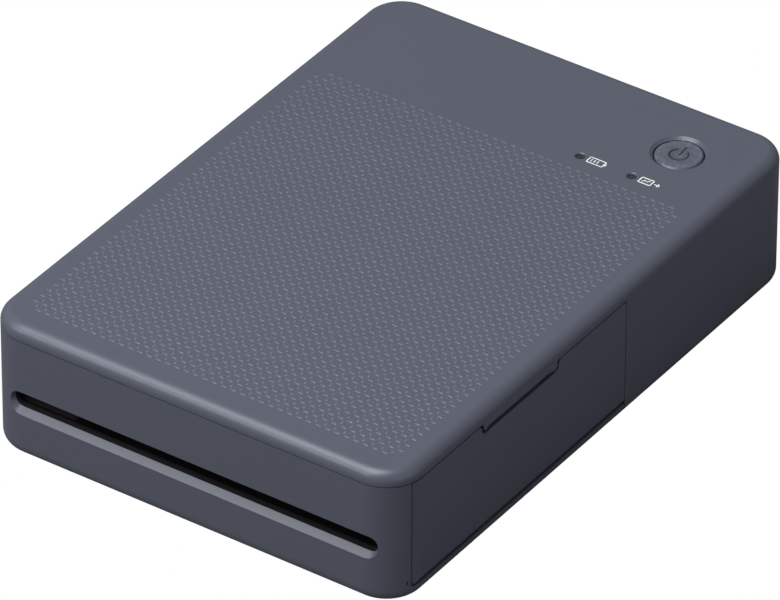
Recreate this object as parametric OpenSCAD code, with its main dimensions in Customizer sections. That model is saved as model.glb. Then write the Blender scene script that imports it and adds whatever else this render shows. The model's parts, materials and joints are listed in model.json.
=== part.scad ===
/* [Sheets] */
// width of a sheet across the feed
sheet_w = 85; // [80:1:90]
// length of a sheet along the feed
sheet_l = 72; // [66:1:80]
// height of the stack of sheets
stack_h = 2.5; // [0.5:0.1:3]

/* [Body] */
// room beside the sheets for gears and side walls
side_room = 8.6; // [8.6:0.1:10]
// room in front of the sheet cassette
front_room = 6.5; // [6.5:0.1:8]
// room behind the door for motor, board and battery
rear_room = 62.1; // [58:0.1:70]
// height of the rubber feet under the floor
foot_h = 0.5; // [0.3:0.1:0.8]
// radius of the four upright corners seen from above
plan_r = 8.7; // [8.2:0.1:10]
// radius of the rounded top edge
top_r = 2.7; // [2.4:0.1:3]
// radius of the rounded bottom edge
bottom_r = 3.0; // [2.7:0.1:3.2]
// thickness of the moulded walls
wall = 1.6; // [1.4:0.1:1.8]
// gap left between two moulded parts at a seam
seam = 0.25; // [0.2:0.05:0.3]
// thickness of the top cover's visible edge above the seam
cover_edge = 3.2; // [3.1:0.1:3.6]

/* [Side door] */
// thickness of the door panel
door_t = 2.0; // [1.8:0.1:2.2]
// underside of the door above the outside of the floor
door_sill = 3.4; // [3.4:0.1:3.8]
// length of the finger notch along its bottom
notch_len = 25.1; // [20:0.1:30]
// middle of the finger notch, in front of the rear end of the door
notch_back = 38.55; // [35:0.05:42]
// depth of the finger notch
notch_h = 2.5; // [2:0.1:3]
// radius of the door's rounded lower edge, about its hinge axis
hinge_r = 1.2; // [1.1:0.1:1.4]
// diameter of the door's hinge pins
door_pin_d = 1.0; // [0.8:0.1:1.1]
// diameter of the door magnets
magnet_d = 4; // [3.6:0.1:4.4]

/* [Print outlet] */
// clear height of the outlet slot at its narrowest
slot_h = 3.6; // [3.2:0.1:3.8]
// depth of the bevel round the outlet slot
slot_bevel = 1.8; // [1.6:0.1:1.9]
// sideways offset of the outlet slot
slot_x = 0.65; // [0.5:0.05:0.8]

/* [Controls] */
// diameter of the power button
button_d = 10.4; // [9:0.1:11.4]
// gap round the power button
button_gap = 0.3; // [0.2:0.05:0.4]
// button middle from the right side
button_side = 18; // [17:0.1:20]
// button middle from the rear side
button_rear = 16.9; // [15:0.1:18.6]
// diameter of the light windows
light_d = 2.1; // [1.8:0.1:2.4]
// distance between the two light windows
light_pitch = 12.8; // [11:0.1:14]

/* [Rollers and gears] */
// radius of the platen and feed rollers
roller_r = 2.8; // [2.6:0.05:3.1]
// radius of the rollers that press the sheet down
pinch_r = 2.75; // [2.5:0.05:3]
// radius of the roller shafts
shaft_r = 1.25; // [1.1:0.05:1.4]
// radial clearance of a shaft in its hole
fit = 0.05; // [0.02:0.01:0.1]
// tooth size of the gear train, pitch diameter divided by teeth
gear_m = 0.5; // [0.5:0.1:0.5]
// teeth on the platen gear and on the feed roller gear
roller_teeth = 24; // [24:2:24]
// teeth on the pick roller gear
pick_teeth = 38; // [38:2:38]
// teeth on the idler gear
idler_teeth = 20; // [20:2:20]
// teeth on the motor pinion
pinion_teeth = 12; // [12:2:12]
// width of the gears
gear_w = 2.0; // [1.8:0.1:2.2]

/* [Ribbon] */
// radius of the ribbon wound on the full spool
full_r = 4.6; // [4:0.1:5]
// radius of the ribbon wound on the take-up spool
used_r = 3.0; // [2.5:0.1:4]

/* [Hidden] */
$fn = 48;
lid_t = 0.8;
plate_t = 0.6;
frame_t = 1.2;
board_t = 1.2;
beam_t = 1.2;
tray_wall = 1;
tray_gap = 1.4;
// heights, from the table upwards
floor_z = foot_h + wall;
tray_z = floor_z + 0.8;
plate_z = tray_z + 1.6;
tray_h = plate_z - tray_z + plate_t + stack_h + 1.8 + lid_t;
axis_z = tray_z + tray_h + 0.4 + roller_r;
path_z = axis_z + roller_r;
film_z = path_z + 0.65;
pinch_z = path_z + pinch_r + 0.1;
spool_in_r = full_r + 1;
spool_out_r = spool_in_r + 1;
spool_z = path_z + 0.8 + spool_out_r;
roof_z = spool_z + spool_out_r + 1.1;
total_h = roof_z + wall;
split_z = total_h - cover_edge;
door_top = split_z - seam;
beam_z = roof_z - 2.7;
board_z = path_z + 5.8;
board_top = board_z + board_t;
port_z = board_top + 1.75;
button_top = total_h - 0.5;
switch_top = board_top + 2.8;
slot_z = path_z - 1.3;
field_z = total_h - 0.12;
// widths, from the middle outwards
half_w = sheet_w / 2 + side_room;
body_w = 2 * half_w;
in_x = half_w - wall;
sheet_x = 1.5;
tray_x0 = sheet_x - sheet_w / 2 - tray_gap - tray_wall;
tray_x1 = sheet_x + sheet_w / 2 + tray_gap + tray_wall;
frame_x0 = -sheet_w / 2 - 3.1;
frame_in = -frame_x0 - frame_t;
gear_x = frame_x0 - gear_w - 1.2;
slot_w = sheet_w + 4.5;
door_in = half_w - door_t;
hinge_x = half_w - hinge_r;
// depths, from the front backwards
body_d = front_room + sheet_l + 3.6 + rear_room + wall;
half_d = body_d / 2;
in_y = half_d - wall;
tray_y0 = -half_d + front_room;
tray_y1 = tray_y0 + sheet_l + 2.6;
door_y0 = tray_y0 - 0.65;
door_y1 = tray_y1 + 1;
pick_y = tray_y1 - 8.7;
platen_y = pick_y - gear_m * (roller_teeth + pick_teeth) / 2;
feed_y = pick_y + gear_m * (roller_teeth + pick_teeth) / 2;
idler_y = feed_y + gear_m * (roller_teeth + idler_teeth) / 2;
motor_y = idler_y + gear_m * (idler_teeth + pinion_teeth) / 2;
supply_y = tray_y1 - 0.4 - spool_out_r;
takeup_y = platen_y - 8.8 - spool_out_r;
notch_y = door_y1 - notch_back;
hinge_z = foot_h + door_sill + hinge_r;
door_z0 = foot_h + door_sill;
catches = [[tray_y0 + 12, split_z - 3.3], [platen_y + 8, axis_z + 0.3]];
head_z = film_z + 1.35;
sink_top = beam_z - 2.2;
head_x = [sheet_x - sheet_w / 2 + 0.5, sheet_x + sheet_w / 2 - 0.5];
pin_x = [head_x[0] + 10.5, head_x[1] - 10.5];
beam_x = [head_x[0] - 1.5, head_x[1] + 0.5];
beam_y = [platen_y - 6, platen_y + 6];
cart_x = [-sheet_w / 2 - 0.1, sheet_w / 2 + 3.5];
beam_screw_x = [beam_x[0] + 5, beam_x[1] - 4];
beam_screw_y = [platen_y - 3.4, platen_y + 3.4];
bay_y = idler_y + 2;
board_y = [idler_y + 2.6, in_y - 0.7];
board_x = -frame_x0 + 0.2;
button_x = half_w - button_side;
button_y = half_d - button_rear;
screws = [[-half_w + 7.1, half_d - 8.9], [half_w - 7.1, half_d - 8.9],
    [frame_x0 - 1, tray_y0 + 6]];
feet_xy = [for (y = [-half_d + 16.9, half_d - 18.9], s = [-1, 1]) [s * (half_w - 15.1), y]];
lights = [for (k = [1, 0]) [button_x - 3.4 - k * light_pitch, button_y - 12.6]];
function post_r(p) = p[1] > 0 ? 2.4 : 1.5;
function post_top(p) = p[1] > 0 ? board_z : 9;
function post_low(p) = p[1] > 0 ? board_top : 9;
shell_c = "#60646f";
dark_c = "#2a2b30";
steel_c = "#b4b7bb";
rubber_c = "#3a3b3e";
white_c = "#d9d9d4";

/* Shared shapes */

// cylinder lying along the width from x0 to x1
module rod(y, z, r, x0, x1) {
    translate([x0, y, z]) rotate([0, 90, 0]) cylinder(r = r, h = x1 - x0);
}

// box given by its two corners
module box(a, b) {
    translate(a) cube([b[0] - a[0], b[1] - a[1], b[2] - a[2]]);
}

// section of the body's edge: flat inside, rounded at top and bottom
module edge_section(r, h, rt, rb) {
    square([r - rt, h]);
    translate([0, rb]) square([r, h - rb - rt]);
    square([r - rb, h / 2]);
    translate([r - rt, h - rt]) circle(r = rt);
    translate([r - rb, rb]) circle(r = rb);
}

// block with rounded upright corners and rounded top and bottom edges
module pebble(w, d, h, r, rt, rb) {
    for (i = [0:3]) {
        sx = (i == 0 || i == 3) ? 1 : -1;
        sy = (i < 2) ? 1 : -1;
        translate([sx * (w / 2 - r), sy * (d / 2 - r), 0]) rotate([0, 0, 90 * i])
            rotate_extrude(angle = 90) edge_section(r, h, rt, rb);
    }
    for (s = [-1, 1]) {
        translate([s * (w / 2 - r), d / 2 - r, 0]) rotate([90, 0, 0])
            linear_extrude(d - 2 * r) mirror([s < 0 ? 1 : 0, 0])
            edge_section(r, h, rt, rb);
        translate([-w / 2 + r, s * (d / 2 - r), 0]) rotate([90, 0, 90])
            linear_extrude(w - 2 * r) mirror([s < 0 ? 1 : 0, 0])
            edge_section(r, h, rt, rb);
    }
    translate([-w / 2 + r, -d / 2 + r, 0]) cube([w - 2 * r, d - 2 * r, h]);
}

// the outside of the whole body
module body_block(low_r) {
    translate([0, 0, foot_h]) pebble(body_w, body_d, total_h - foot_h, plan_r, top_r, low_r);
}

// the closed shell that top cover, lower case and door are cut from
module shell() {
    difference() {
        body_block(bottom_r);
        translate([0, 0, floor_z])
            pebble(body_w - 2 * wall, body_d - 2 * wall, roof_z - floor_z,
                   plan_r - wall, top_r - wall, bottom_r - wall);
    }
}

// flat with rounded corners, seen from above
module rounded(w, d, r, h) {
    linear_extrude(h) {
        square([w - 2 * r, d], center = true);
        square([w, d - 2 * r], center = true);
        for (sx = [-1, 1], sy = [-1, 1])
            translate([sx * (w / 2 - r), sy * (d / 2 - r)]) circle(r = r);
    }
}

// slot with round ends; its bevel is deep below and shallow above
module outlet() {
    w = slot_w - slot_h;
    r = slot_h / 2;
    low = 44.2;
    up = 9.2;
    y0 = -half_d;
    // the bevel's faces run on to a line behind the wall
    tip = slot_bevel + slot_h / (tan(low) + tan(up));
    tip_z = slot_z + r - (tip - slot_bevel) * tan(up);
    translate([slot_x, y0 + 5, slot_z]) rotate([90, 0, 0]) linear_extrude(6) {
        square([w, slot_h], center = true);
        for (s = [-1, 1]) translate([s * w / 2, 0]) circle(r = r);
    }
    translate([slot_x - w / 2, y0, tip_z]) rotate([90, 0, 90]) linear_extrude(w)
        polygon([[tip, 0], [-1, (tip + 1) * tan(up) + 0.03], [-1, -(tip + 1) * tan(low) - 0.03]]);
    for (s = [-1, 1]) translate([slot_x + s * w / 2, y0 + tip, tip_z])
        rotate([90 + (low - up) / 2, 0, 0])
        cylinder(r1 = 0, r2 = tip * 1.5 * tan((low + up) / 2), h = tip * 1.5);
}

// very shallow field let into the flat of the top, with sloped borders
module top_field() {
    intersection() {
        translate([0, half_d, field_z]) rotate([90, 0, 0]) linear_extrude(body_d)
            field_outline(half_w - top_r - 3);
        translate([-half_w, 0, field_z]) rotate([90, 0, 90]) linear_extrude(body_w)
            field_outline(half_d - top_r - 3);
    }
}

module field_outline(a) {
    polygon([[-a, 0], [a, 0], [a + 9, 0.36], [-a - 9, 0.36]]);
}

function involute(a) = tan(a) * 180 / PI - a;
function flank(rr, r, n, back) =
    90 / n * back + involute(20) - involute(acos(min(1, r * cos(20) / rr)));

// spur gear lying along the width; turn is a share of one tooth pitch
module gear(y, z, n, bore, turn, x0, w) {
    r = gear_m * n / 2;
    lo = r - 1.2 * gear_m;
    hi = r + 0.92 * gear_m;
    steps = [max(lo, r * cos(20)), (r + lo) / 2 + 0.12, r, (r + hi) / 2, hi];
    translate([x0, y, z]) rotate([90, 0, 90]) rotate([0, 0, turn * 360 / n])
        linear_extrude(w) difference() {
            polygon([for (i = [0:n - 1]) let (c = i * 360 / n)
                each concat(
                    [[lo * cos(c - 132 / n), lo * sin(c - 132 / n)]],
                    [for (k = [0:4]) let (a = c - flank(steps[k], r, n, 0.92))
                        [steps[k] * cos(a), steps[k] * sin(a)]],
                    [for (k = [4:-1:0]) let (a = c + flank(steps[k], r, n, 0.92))
                        [steps[k] * cos(a), steps[k] * sin(a)]],
                    [[lo * cos(c + 132 / n), lo * sin(c + 132 / n)]])]);
            circle(r = bore);
        }
}

/* Housing */

// everything of the shell that belongs to the top cover
module cover_region() {
    y1 = door_y1 + 0.1;
    box([-half_w - 9, -half_d - 9, split_z], [half_w + 9, y1, total_h + 9]);
    difference() {
        box([-half_w - 9, y1, -1], [half_w + 9, half_d + 9, total_h + 9]);
        translate([0, 0, -2])
            rounded(body_w - 2 * bottom_r - 0.6, body_d - 2 * bottom_r - 0.6, 5.4, floor_z + 2.1);
    }
}

// what the lower case keeps in front of and below the top cover
module case_region() {
    y1 = door_y1 - 0.15;
    box([-half_w - 9, -half_d - 9, -1], [half_w + 9, y1, door_top]);
    translate([0, 0, -2]) intersection() {
        rounded(body_w - 2 * bottom_r - 1, body_d - 2 * bottom_r - 1, 5.2, floor_z + 2);
        box([-half_w, y1 - 1, 0], [half_w, half_d, 9]);
    }
}

// opening that the door fills, with its rounded lower front corner
module door_opening() {
    y0 = door_y0 - seam;
    z0 = door_z0 - seam;
    len = door_y1 + 0.2 - y0;
    r = 0.6;
    translate([half_w - 7, 0, 0]) rotate([90, 0, 90]) linear_extrude(9) {
        translate([y0, z0 + r]) square([len, split_z - z0 - r]);
        translate([y0 + r, z0]) square([len - r, 2]);
        translate([y0 + r, z0 + r]) circle(r = r);
    }
}

// lip on the lower case that centres the top cover, set in from the wall by dx, dy
module lip(a, b, dx, dy) {
    box([a[0], a[1], split_z - 3.4], [b[0], b[1], door_top]);
    box([a[0] + dx, a[1] + dy, split_z - 3.4], [b[0], b[1], split_z + 0.4]);
}

module lower_case() {
    color(shell_c) {
        difference() {
            intersection() {
                shell();
                case_region();
            }
            door_opening();
            translate([hinge_x, door_y0 - 1.25, hinge_z]) rotate([-90, 0, 0])
                cylinder(r = door_pin_d / 2 + fit, h = 2);
            outlet();
            for (p = screws) translate([p[0], p[1], -1]) cylinder(r = 1.8, h = 2.1 + foot_h);
            for (p = screws) translate([p[0], p[1], -1]) cylinder(r = 0.9, h = 6);
            for (p = feet_xy) translate([p[0], p[1], -1]) cylinder(r = 4.05, h = 1.6 + foot_h);
        }
        // thicker wall round the outlet
        difference() {
            box([slot_x - slot_w / 2 - 3, -in_y - 0.1, slot_z - 4],
                [slot_x + slot_w / 2 + 1.6, -in_y + 1.1, slot_z + 4]);
            outlet();
        }
        // screw posts
        for (p = screws) translate([p[0], p[1], floor_z - 0.2]) difference() {
            cylinder(r = post_r(p), h = post_top(p) - floor_z + 0.2);
            translate([0, 0, -1]) cylinder(r = 0.9, h = 30);
        }
        // seats over the feet
        for (p = feet_xy) translate([p[0], p[1], floor_z - 0.5]) cylinder(r = 4.6, h = 1.1);
        // ribs the sheet cassette slides on
        for (k = [0.03, 0.3, 0.67, 0.97]) translate([0, tray_y0 + k * (tray_y1 - tray_y0), 0])
            box([tray_x0 + 1.4, -0.6, floor_z - 0.2], [tray_x1 - 2.4, 0.6, tray_z]);
        // stops behind the sheet cassette
        for (s = [-1, 1]) translate([s * sheet_w * 0.4, door_y1, floor_z - 0.2])
            translate([-3, 0, 0]) cube([6, 1.2, 4]);
        lip([-in_x - 0.1, tray_y0 + 11, 0], [-in_x + 0.9, tray_y1 - 2.2, 0], 0.25, 0);
        lip([-sheet_w / 2, -in_y - 0.1, 0], [sheet_w / 2, -in_y + 0.9, 0], 0, 0.25);
        // floor ribs under the battery
        for (k = [0.1, 0.5, 0.9]) translate([0, bay_y + k * (in_y - 3.3 - bay_y), 0])
            box([frame_x0 + 21.6, -0.6, floor_z - 0.2], [-frame_x0 - 5.6, 0.6, floor_z + 0.7]);
    }
}

module top_cover() {
    color(shell_c) {
        difference() {
            intersection() {
                shell();
                cover_region();
            }
            scoop(58);
            top_field();
            door_pin_hole();
            // recess and hole of the power button
            translate([button_x, button_y, roof_z - 1])
                cylinder(r = button_d / 2 + button_gap, h = 5);
            translate([button_x, button_y, total_h - 0.7])
                cylinder(r1 = button_d / 2 + button_gap, r2 = button_d / 2 + 1.15, h = 0.72);
            // light windows
            for (p = lights) {
                translate([p[0], p[1], roof_z - 1]) cylinder(d = light_d, h = 4);
                translate([p[0], p[1], field_z - 0.2])
                    cylinder(d1 = light_d, d2 = light_d + 0.5, h = 0.22);
            }
            // charging port opening, with a shallow dish round it
            port_shape(9.2, 3.5, half_d + 1, wall + 2);
            port_shape(12, 6, half_d + 1, 1.5);
        }
        // tongue behind the finger notch
        intersection() {
            notch_block(0.6, split_z + 1.2);
            body_block(bottom_r);
            difference() {
                scoop(59.2);
                scoop(58);
            }
        }
        // screw posts
        for (p = screws) translate([p[0], p[1], post_low(p)]) difference() {
            cylinder(r = post_r(p), h = roof_z + 0.2 - post_low(p));
            translate([0, 0, -1]) cylinder(r = 0.8, h = 5 + (p[1] > 0 ? 0.4 : 1));
        }
        // posts the head beam is screwed to
        for (x = beam_screw_x, y = beam_screw_y) translate([x, y, beam_z + beam_t]) difference() {
            cylinder(r = 1.9, h = roof_z + 0.2 - beam_z - beam_t);
            translate([0, 0, -0.5]) cylinder(r = 0.6, h = 1.5);
        }
        // collar that guides the button
        translate([button_x, button_y, roof_z - 2.6]) difference() {
            cylinder(r = button_d / 2 + button_gap + 1, h = 2.8);
            translate([0, 0, -1]) cylinder(r = button_d / 2 + button_gap, h = 5);
        }
        // rib at the rear end of the door with its hinge hole
        difference() {
            box([half_w - 5.2, door_y1 + 0.1, door_z0 - 0.3],
                [half_w - 0.4, door_y1 + 2.1, split_z + 0.4]);
            door_pin_hole();
        }
        // stiffening ribs under the top
        for (y = [tray_y0 + 8, tray_y0 + 20, bay_y + 8])
            box([-half_w + 13, y - 0.5, roof_z - 0.8], [half_w - 25, y + 0.5, roof_z + 0.2]);
    }
}

module port_shape(w, h, y, deep) {
    translate([0, y, port_z]) rotate([90, 0, 0]) linear_extrude(deep) {
        square([w - h, h], center = true);
        for (s = [-1, 1]) translate([s * (w - h) / 2, 0]) circle(d = h);
    }
}

module door_pin_hole() {
    translate([hinge_x, door_y1 - 1, hinge_z]) rotate([-90, 0, 0])
        cylinder(r = door_pin_d / 2 + fit, h = 2.7);
}

// leaning cylinder that scoops the side above the finger notch
module scoop(r) {
    translate([half_w - 1.6, notch_y, split_z - notch_h]) rotate([0, 19, 0])
        translate([58, 0, -9]) cylinder(r = r, h = 22, $fn = 96);
}

// outline of the finger notch with S-shaped ends, drawn inwards by gap
module notch_block(gap, z1) {
    r = notch_h / 2;
    zb = door_top - notch_h;
    e = notch_len / 2 - gap;
    bend = [for (a = [-90:15:0]) [e + r * cos(a), zb + r + gap + r * sin(a)]];
    bow = [for (a = [165:-15:90]) [e + 2 * r + r * cos(a), zb + r + gap + r * sin(a)]];
    right = concat(bend, bow, [[e + 2 * r, z1]]);
    left = [for (k = [len(right) - 1:-1:0]) [-right[k][0], right[k][1]]];
    translate([half_w - 6, notch_y, 0]) rotate([90, 0, 90]) linear_extrude(9)
        polygon(concat(right, left));
}

module side_door() {
    y0 = door_y0;
    color(shell_c) {
        difference() {
            intersection() {
                box([door_in, y0, hinge_z], [half_w, door_y1 - 0.1, door_top - 0.05]);
                body_block(0.5);
            }
            notch_block(0, split_z + 1);
        }
        // rounded lower edge, also the hinge barrel
        difference() {
            intersection() {
                translate([hinge_x, y0 + 0.2, hinge_z]) rotate([-90, 0, 0])
                    cylinder(r = hinge_r, h = door_y1 - y0 - 0.3);
                body_block(0.5);
            }
            box([door_in, -half_d, hinge_z], [half_w + 1, half_d, total_h]);
        }
        // hinge pins
        translate([hinge_x, y0 - 0.9, hinge_z]) rotate([-90, 0, 0])
            cylinder(d = door_pin_d, h = 1.5);
        translate([hinge_x, door_y1 - 0.8, hinge_z]) rotate([-90, 0, 0])
            cylinder(d = door_pin_d, h = 1.9);
        // stiffening ribs inside
        for (y = [tray_y0 + 6, tray_y0 + 18, tray_y1 - 24.2, tray_y1 - 4.2])
            box([door_in - 0.9, y - 0.5, hinge_z], [door_in + 0.1, y + 0.5, split_z - 6.3]);
        // pockets that hold the magnets
        for (p = catches) translate([door_in - 1.2, p[0], p[1]]) rotate([0, 90, 0]) difference() {
            cylinder(d = magnet_d + 1.2, h = 1.4);
            translate([0, 0, -1]) cylinder(d = magnet_d + 0.1, h = 2.2);
        }
    }
}

/* Door hardware */

module door_magnets() {
    color("#8d9094") for (p = catches) translate([door_in - 1.2, p[0], p[1]])
        rotate([0, 90, 0]) cylinder(d = magnet_d, h = 1.2);
}

module door_keepers() {
    hung = catches[0];
    low = catches[1];
    color(steel_c) {
        // strip that hangs from the roof, in front of the ribbon cassette
        box([door_in - 2.1, hung[0] - 3, hung[1] - 2.2], [door_in - 1.5, hung[0] + 3, roof_z]);
        box([door_in - 5.1, hung[0] - 3, roof_z - 0.6], [door_in - 1.5, hung[0] + 3, roof_z]);
        // block on the right frame, between the two cassettes
        box([-frame_x0, low[0] - 2.5, low[1] - 2.3], [door_in - 1.5, low[0] + 2.5, low[1] + 2.3]);
    }
}

/* Controls */

module power_button() {
    body_z = roof_z - 3.3;
    color("#565a66") difference() {
        union() {
            translate([button_x, button_y, body_z])
                cylinder(d = button_d, h = button_top - 0.3 - body_z);
            // rim that holds it under the collar
            translate([button_x, button_y, body_z]) cylinder(d = button_d + 2.2, h = 0.7);
            translate([button_x, button_y, button_top - 0.3])
                cylinder(d1 = button_d, d2 = button_d - 0.6, h = 0.3);
            translate([button_x, button_y, switch_top + 0.42])
                cylinder(d = 3, h = body_z + 0.2 - switch_top - 0.42);
        }
        translate([button_x, button_y, button_top + 11.75]) sphere(r = 12, $fn = 96);
    }
}

module power_switch() {
    color("#3c3d40") {
        box([button_x - 3, button_y - 3, board_top], [button_x + 3, button_y + 3, switch_top - 0.8]);
        translate([button_x, button_y, switch_top - 0.9]) cylinder(d = 3.4, h = 0.9);
    }
}

module light_guides() {
    color("#c9ccd0") for (p = lights) translate([p[0], p[1], board_top + 1.1]) {
        cylinder(d = 3, h = roof_z - board_top - 1.1);
        cylinder(d = light_d - 0.1, h = total_h - 0.5 - board_top - 1.1);
    }
}

module status_lights() {
    color(white_c) for (p = lights)
        translate([p[0] - 0.8, p[1] - 0.5, board_top]) cube([1.6, 1, 1.1]);
}

/* Frame and mechanism */

module left_frame() {
    x1 = frame_x0 + frame_t;
    back = in_y - 13.3;
    color(steel_c) {
        translate([frame_x0, 0, 0]) rotate([90, 0, 90]) linear_extrude(frame_t) difference() {
            polygon([[platen_y - 22, floor_z], [back, floor_z], [back, board_z],
                     [idler_y - 2, board_z], [feed_y + 5, board_z + 4], [pick_y + 6.5, board_z + 4],
                     [pick_y + 2.5, path_z + 1.8], [platen_y - 22, path_z + 1.8]]);
            for (y = [platen_y, pick_y, feed_y]) translate([y, axis_z]) circle(r = shaft_r + fit);
            translate([feed_y, pinch_z]) circle(r = 1 + fit);
            translate([motor_y, axis_z]) circle(r = 3.1);
            for (y = [platen_y - 14, back - 8]) translate([y, floor_z + 4.9]) circle(r = 2.2);
            translate([motor_y + 13, axis_z + 1.6]) square([12, 7], center = true);
        }
        // feet bent outwards onto the floor
        for (y = [platen_y - 17, motor_y + 10])
            box([frame_x0 - 2.4, y - 4, floor_z], [frame_x0 + 0.2, y + 4, floor_z + 0.8]);
    }
}

module right_frame() {
    x0 = -frame_x0 - frame_t;
    low = tray_z + tray_h + 0.7;
    back = in_y - 13.3;
    color(steel_c) {
        translate([x0, 0, 0]) rotate([90, 0, 90]) linear_extrude(frame_t) difference() {
            polygon([[platen_y - 4, low], [tray_y1 + 2.4, low], [tray_y1 + 2.4, floor_z],
                     [back, floor_z], [back, board_z], [idler_y - 2, board_z],
                     [feed_y + 5, board_z + 4], [tray_y1 + 2.8, board_z + 4],
                     [tray_y1 + 2.4, path_z + 0.1], [platen_y - 4, path_z + 0.1]]);
            for (y = [platen_y, pick_y, feed_y]) translate([y, axis_z]) circle(r = shaft_r + fit);
            translate([feed_y, pinch_z]) circle(r = 1 + fit);
            for (y = [motor_y, motor_y + 14]) translate([y, axis_z - 1.4]) circle(r = 3);
        }
        for (y = [idler_y - 2, motor_y + 10])
            box([x0 + 1, y - 4, floor_z], [x0 + 3.6, y + 4, floor_z + 0.8]);
    }
}

module cross_bars() {
    x1 = frame_in;
    color(steel_c) {
        // channel that ties the two frames behind the feed roller
        box([-x1, idler_y + 1, path_z + 1.6], [x1, idler_y + 1.8, path_z + 5.4]);
        box([-x1, idler_y + 1, path_z + 4.6], [x1, idler_y + 5, path_z + 5.4]);
        // bar in front of the feed roller
        box([-x1, feed_y - 3.8, path_z + 1], [x1, feed_y - 3.1, path_z + 4]);
    }
}

module platen_shaft() {
    color(steel_c) rod(platen_y, axis_z, shaft_r, gear_x, -frame_x0 + 0.6);
}

module platen_rubber() {
    color(rubber_c) difference() {
        rod(platen_y, axis_z, roller_r, -sheet_w / 2, sheet_w / 2);
        rod(platen_y, axis_z, shaft_r, -sheet_w, sheet_w);
    }
}

module platen_gear() {
    color(white_c) gear(platen_y, axis_z, roller_teeth, shaft_r, 0, gear_x, gear_w);
}

module pick_shaft() {
    color(steel_c) rod(pick_y, axis_z, shaft_r, gear_x, -frame_x0 + 0.6);
}

module pick_tyres() {
    color(rubber_c) for (x = [-22, 10]) difference() {
        rod(pick_y, axis_z, roller_r - 0.05, x, x + 12);
        rod(pick_y, axis_z, shaft_r, x - 1, x + 13);
    }
}

module pick_gear() {
    color(white_c) difference() {
        gear(pick_y, axis_z, pick_teeth, shaft_r, 0.5, gear_x, gear_w);
        for (a = [0:60:300]) translate([gear_x - 1, pick_y, axis_z]) rotate([a, 0, 0])
            translate([0, 5.2, 0]) rotate([0, 90, 0]) cylinder(r = 1.7, h = 4);
    }
}

module feed_roller() {
    color("#9ea2a6") {
        difference() {
            rod(feed_y, axis_z, roller_r, -sheet_w / 2, sheet_w / 2);
            for (x = [-30, 24]) difference() {
                rod(feed_y, axis_z, 4, x, x + 6);
                rod(feed_y, axis_z, roller_r - 0.4, x - 1, x + 7);
            }
        }
        rod(feed_y, axis_z, shaft_r, gear_x, -sheet_w / 2 + 0.5);
        rod(feed_y, axis_z, shaft_r, sheet_w / 2 - 0.5, -frame_x0 + 0.6);
    }
}

module feed_gear() {
    color(white_c) gear(feed_y, axis_z, roller_teeth, shaft_r, 0, gear_x, gear_w);
}

module idler_stud() {
    color(steel_c) {
        rod(idler_y, axis_z, shaft_r, gear_x - 0.2, frame_x0);
        rod(idler_y, axis_z, 2.2, frame_x0 - 0.7, frame_x0);
    }
}

module idler_gear() {
    color(white_c) gear(idler_y, axis_z, idler_teeth, shaft_r + fit, 0.5, gear_x, gear_w);
}

module motor_pinion() {
    color("#c2a86a") gear(motor_y, axis_z, pinion_teeth, 0.8, 0, gear_x, gear_w);
}

module motor_shaft() {
    color(steel_c) rod(motor_y, axis_z, 0.8, gear_x, frame_x0 + frame_t + 14);
}

module feed_motor() {
    x0 = frame_x0 + frame_t;
    color("#a7a9ac") difference() {
        union() {
            rod(motor_y, axis_z, 7.5, x0 + 0.8, x0 + 14.8);
            rod(motor_y, axis_z, 3, frame_x0 - 0.4, x0 + 1);
            translate([x0, 0, 0]) rotate([90, 0, 90]) linear_extrude(0.8) {
                translate([motor_y, axis_z]) square([7, 14.6], center = true);
                for (s = [-1, 1]) translate([motor_y, axis_z + s * 5.6]) circle(r = 2.6);
                translate([motor_y, axis_z]) circle(r = 7.5);
            }
            box([x0 + 5, motor_y - 4, axis_z - 8.6], [x0 + 10, motor_y + 4, axis_z - 5]);
        }
        rod(motor_y, axis_z, 0.8 + fit, frame_x0 - 1, x0 + 14.1);
    }
}

module pinch_shaft() {
    color(steel_c) rod(feed_y, pinch_z, 1, frame_x0 - 0.4, -frame_x0 + 0.4);
}

module pinch_rollers() {
    color("#26272a") for (x = [-36, -12, 12, 30]) difference() {
        rod(feed_y, pinch_z, pinch_r, x, x + 8);
        rod(feed_y, pinch_z, 1, x - 1, x + 9);
    }
}

module turn_guide() {
    cy = feed_y + 5;
    cz = axis_z - 0.5;
    x1 = frame_in - 1;
    color(dark_c) {
        // curved channel that turns the sheet back over the rollers
        translate([-x1, cy, cz]) rotate([90, 0, 90]) linear_extrude(2 * x1) difference() {
            circle(r = 4.6);
            circle(r = 3.8);
            translate([-5, -5]) square([5, 10]);
        }
        box([-x1, cy - 1.2, cz + 3.8], [x1, cy + 0.1, cz + 4.6]);
        box([-x1, tray_y1 + 0.3, cz - 4.6], [x1, cy + 0.1, cz - 3.8]);
        for (x = [-x1 + 3.4, -14, 14, x1 - 5.4])
            box([x, cy - 4, floor_z], [x + 1.2, cy + 1, cz - 4.4]);
    }
}

/* Print head */

module head_beam() {
    y0 = beam_y[0];
    y1 = beam_y[1];
    color(steel_c) difference() {
        union() {
            box([beam_x[0], y0, beam_z], [beam_x[1], y1, beam_z + beam_t]);
            for (y = [y0, y1 - 0.8])
                box([beam_x[0], y, beam_z - 1.4], [beam_x[1], y + 0.8, beam_z + 0.2]);
        }
        for (x = pin_x) translate([x, platen_y, beam_z - 1]) cylinder(r = 1.5 + fit, h = 4);
        for (x = beam_screw_x, y = beam_screw_y) translate([x, y, beam_z - 1])
            cylinder(r = 0.9, h = 4);
    }
}

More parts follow.
